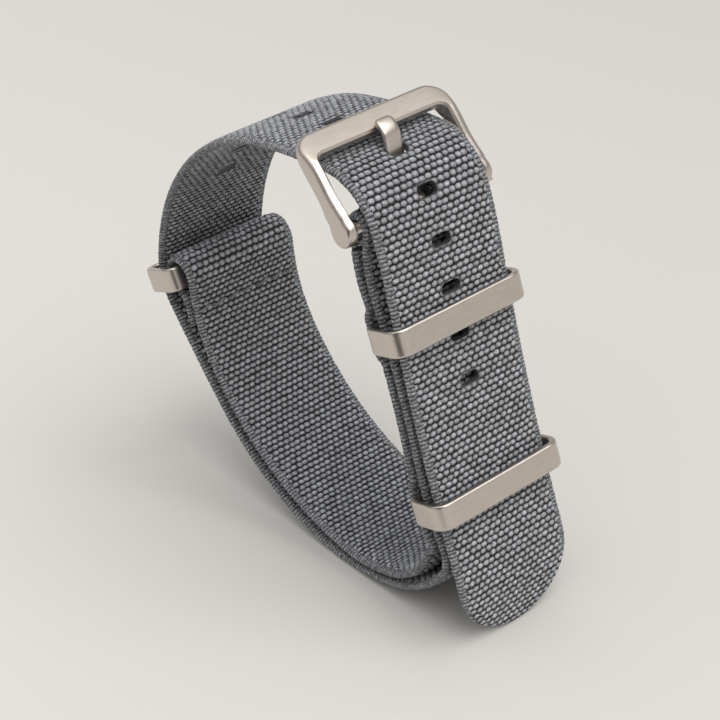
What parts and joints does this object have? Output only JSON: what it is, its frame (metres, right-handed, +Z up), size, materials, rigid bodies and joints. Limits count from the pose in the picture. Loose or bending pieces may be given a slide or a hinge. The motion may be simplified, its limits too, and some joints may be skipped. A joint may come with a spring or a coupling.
{
  "type": "pull-through watch strap",
  "caption": "Woven pull-through watch strap rolled into a loop, with a pin buckle, flat metal keeper rings and a metal end ring.",
  "frame": {"origin": "on the surface the rolled strap stands on, midway along its length in the side view and on the buckle's middle plane", "axes": "+Z up, Y across the strap's width along the buckle's pivot bar, +X towards the side that carries the two keeper rings"},
  "size_m": [0.072, 0.0248, 0.0724],
  "materials": {
    "webbing": "woven, blue-grey",
    "hardware": "satin",
    "thread": "sewing thread"
  },
  "bodies": {
    "strap": {"long_strap": "webbing", "short_strap": "webbing", "buckle_stitching": "thread", "upper_top_stitching": "thread", "upper_base_stitching": "thread", "lower_top_stitching": "thread", "lower_base_stitching": "thread", "end_fold_stitching": "thread"},
    "buckle": {"buckle_frame": "hardware", "pivot_bar": "hardware"},
    "tongue": {"buckle_tongue": "hardware"},
    "upper_ring": {"upper_keeper": "hardware"},
    "lower_ring": {"lower_keeper": "hardware"},
    "end_loop": {"end_ring": "hardware"}
  },
  "joints": [
    {"name": "buckle_hinge", "type": "hinge", "parent": "strap", "child": "buckle", "pos_m": [0.0194, 0, 0.06134], "axis": [0, 1, 0], "range_deg": [-0.2, 0.6]},
    {"name": "tongue_hinge", "type": "hinge", "parent": "buckle", "child": "tongue", "pos_m": [0.0194, 0, 0.06134], "axis": [0, 1, 0], "range_deg": [0, 0.5]},
    {"name": "upper_keeper_slide", "type": "slide", "parent": "strap", "child": "upper_ring", "axis": [0.2779, 0, -0.9606], "range_m": [-0.0003, 0.0003]},
    {"name": "lower_keeper_slide", "type": "slide", "parent": "strap", "child": "lower_ring", "axis": [0.275, 0, -0.9614], "range_m": [-0.0003, 0.0003]},
    {"name": "end_ring_hinge", "type": "hinge", "parent": "strap", "child": "end_loop", "pos_m": [-0.02791, 0, 0.03568], "axis": [0, 1, 0], "range_deg": [-2, 4]}
  ]
}
